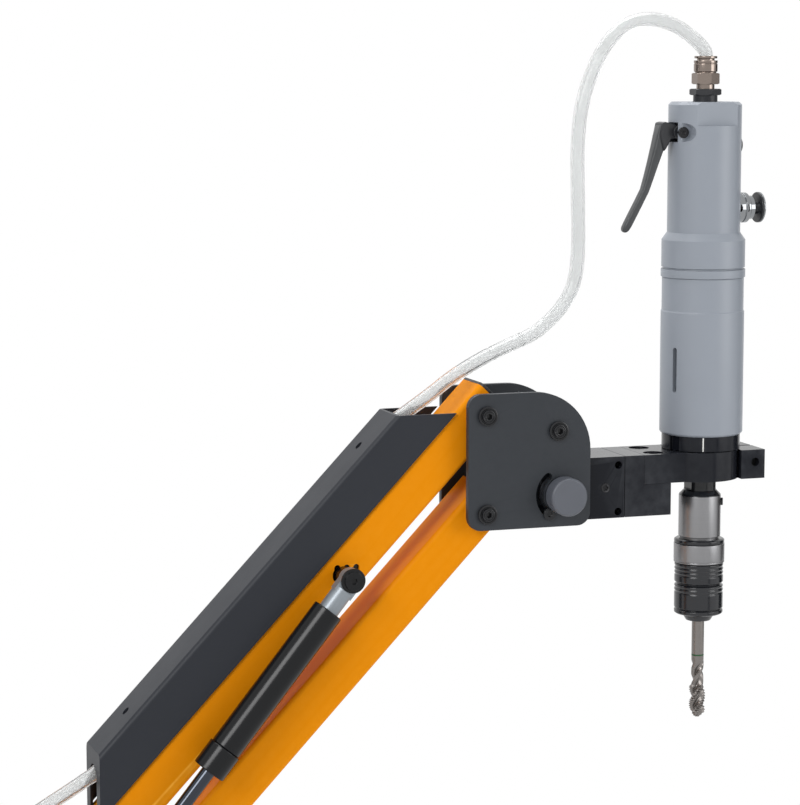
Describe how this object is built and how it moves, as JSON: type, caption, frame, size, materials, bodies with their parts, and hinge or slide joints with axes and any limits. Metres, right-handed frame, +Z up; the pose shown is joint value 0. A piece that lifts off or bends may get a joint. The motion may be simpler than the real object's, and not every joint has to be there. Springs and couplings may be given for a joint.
{
  "type": "arm tapping machine",
  "caption": "Sprung parallelogram arm on a bench column, carrying an air tapping motor with a tilting head, quick-change chuck and spiral-flute tap.",
  "frame": {"origin": "middle of the base plate's underside, on the column's axis", "axes": "+Z up along the column, +X from the column toward the tapping axis, +Y away from the side that carries the gas spring"},
  "size_m": [0.9039, 0.16, 0.9308],
  "materials": {
    "orange_paint": "bright orange powder coat",
    "black_paint": "charcoal black satin",
    "black_steel": "blackened steel, semi-gloss",
    "steel": "turned steel",
    "dark_chrome": "dark hard chrome",
    "bronze": "turned bearing bronze",
    "nickel_brass": "nickel-plated brass",
    "motor_grey": "blue-grey satin",
    "black_plastic": "moulded black",
    "clear_hose": "clear polyurethane"
  },
  "bodies": {
    "base": {"base_plate": "black_paint", "column": "black_paint", "column_screws": "steel", "column_cap": "black_paint"},
    "swing_link": {"swing_link": "orange_paint", "swivel_bushes": "bronze"},
    "shoulder": {"shoulder_block": "black_paint", "elbow_cap": "black_paint", "rear_plate_front": "black_paint", "rear_plate_back": "black_paint", "rear_pins": "steel", "shoulder_screws": "black_steel", "inlet_block": "motor_grey", "inlet_fitting": "nickel_brass", "hose_inlet": "clear_hose"},
    "upper_arm": {"upper_arm": "orange_paint", "upper_arm_bushes": "bronze", "upper_arm_caps": "black_plastic", "hose_cover": "black_paint", "cover_posts": "steel", "spring_stud": "black_steel", "hose_run": "clear_hose", "hose_lift": "clear_hose"},
    "lower_arm": {"lower_arm": "orange_paint", "lower_arm_bushes": "bronze", "lower_arm_caps": "black_plastic"},
    "gas_cylinder": {"gas_cylinder": "black_paint", "gas_gland": "black_paint", "gas_top_eye": "motor_grey"},
    "gas_rod": {"gas_rod": "dark_chrome", "gas_rod_eye": "black_paint"},
    "head_plates": {"head_plate_front": "black_paint", "head_plate_back": "black_paint", "head_pins": "steel", "plate_spacer": "black_paint", "head_plate_screws": "black_steel"},
    "tilt_knob": {"tilt_knob": "black_plastic"},
    "tilt_head": {"hinge_block": "black_paint", "l_block": "black_paint", "block_screws": "steel", "tilt_stop_screws": "steel", "motor_clamp": "black_paint", "clamp_screws": "steel", "motor_lower_housing": "motor_grey", "nose_collar": "black_steel", "motor_joint_ring": "motor_grey", "motor_upper_housing": "motor_grey", "side_plug": "black_steel", "button_neck": "steel", "lever_pin": "steel", "air_fitting": "nickel_brass", "hose_arch": "clear_hose"},
    "throttle_lever": {"throttle_lever": "black_plastic"},
    "reverse_button": {"reverse_button": "black_plastic"},
    "release_ring": {"release_ring": "nickel_brass"},
    "spindle": {"spindle": "steel", "chuck_body": "steel", "tap_holder": "black_steel", "tap": "steel"},
    "chuck_sleeve": {"chuck_sleeve": "black_steel"}
  },
  "joints": [
    {"name": "base_swivel", "type": "hinge", "parent": "base", "child": "swing_link", "pos_m": [0, 0, 0.21], "axis": [0, 0, 1], "range_deg": [-150, 150]},
    {"name": "elbow_swivel", "type": "hinge", "parent": "swing_link", "child": "shoulder", "pos_m": [0.26, 0, 0.21], "axis": [0, 0, 1], "range_deg": [-120, 120]},
    {"name": "arm_lift", "type": "hinge", "parent": "shoulder", "child": "upper_arm", "pos_m": [0.327, 0, 0.3622], "axis": [0, 1, 0], "range_deg": [-4, 66], "deforming": ["hose_inlet"]},
    {"name": "lower_arm_swing", "type": "hinge", "parent": "shoulder", "child": "lower_arm", "pos_m": [0.327, 0, 0.2931], "axis": [0, 1, 0], "range_deg": [-4, 66]},
    {"name": "head_level", "type": "hinge", "parent": "upper_arm", "child": "head_plates", "pos_m": [0.6031, 0, 0.65163], "axis": [0, 1, 0], "range_deg": [-66, 4], "deforming": ["hose_lift"]},
    {"name": "gas_swing", "type": "hinge", "parent": "upper_arm", "child": "gas_cylinder", "pos_m": [0.50188, -0.036, 0.54364], "axis": [0, 1, 0], "range_deg": [-2.8, 0.2]},
    {"name": "gas_stroke", "type": "slide", "parent": "gas_cylinder", "child": "gas_rod", "axis": [0.6293, 0, 0.7772], "range_m": [-0.0024, 0.037]},
    {"name": "head_tilt", "type": "hinge", "parent": "head_plates", "child": "tilt_head", "pos_m": [0.6593, 0, 0.59373], "axis": [0, 1, 0], "range_deg": [0, 75], "deforming": ["hose_arch"]},
    {"name": "knob_turn", "type": "hinge", "parent": "head_plates", "child": "tilt_knob", "pos_m": [0.6593, -0.0305, 0.59373], "axis": [0, 1, 0], "range_deg": [0, 180]},
    {"name": "throttle", "type": "hinge", "parent": "tilt_head", "child": "throttle_lever", "pos_m": [0.757, 0, 0.84573], "axis": [0, -1, 0], "range_deg": [0, 13], "stiffness_Nm_per_rad": 1, "springref_deg": -8.59},
    {"name": "reverse_push", "type": "slide", "parent": "tilt_head", "child": "reverse_button", "axis": [-1, 0, 0], "range_m": [0, 0.004], "stiffness_N_per_m": 800, "springref_m": -0.002},
    {"name": "ring_push", "type": "slide", "parent": "tilt_head", "child": "release_ring", "axis": [0, 0, -1], "range_m": [0, 0.0012], "stiffness_N_per_m": 1500, "springref_m": -0.001},
    {"name": "spindle_turn", "type": "hinge", "parent": "tilt_head", "child": "spindle", "pos_m": [0.7796, 0, 0.57753], "axis": [0, 0, 1], "continuous": true},
    {"name": "sleeve_pull", "type": "slide", "parent": "spindle", "child": "chuck_sleeve", "axis": [0, 0, -1], "range_m": [0, 0.005], "stiffness_N_per_m": 2000, "springref_m": -0.002}
  ],
  "couplings": [
    {"joint": "lower_arm_swing", "follows": "arm_lift", "ratio": 1},
    {"joint": "head_level", "follows": "arm_lift", "ratio": -1},
    {"joint": "gas_swing", "follows": "arm_lift", "ratio": -0.042},
    {"joint": "gas_stroke", "follows": "arm_lift", "m_per_rad": 0.0308}
  ]
}
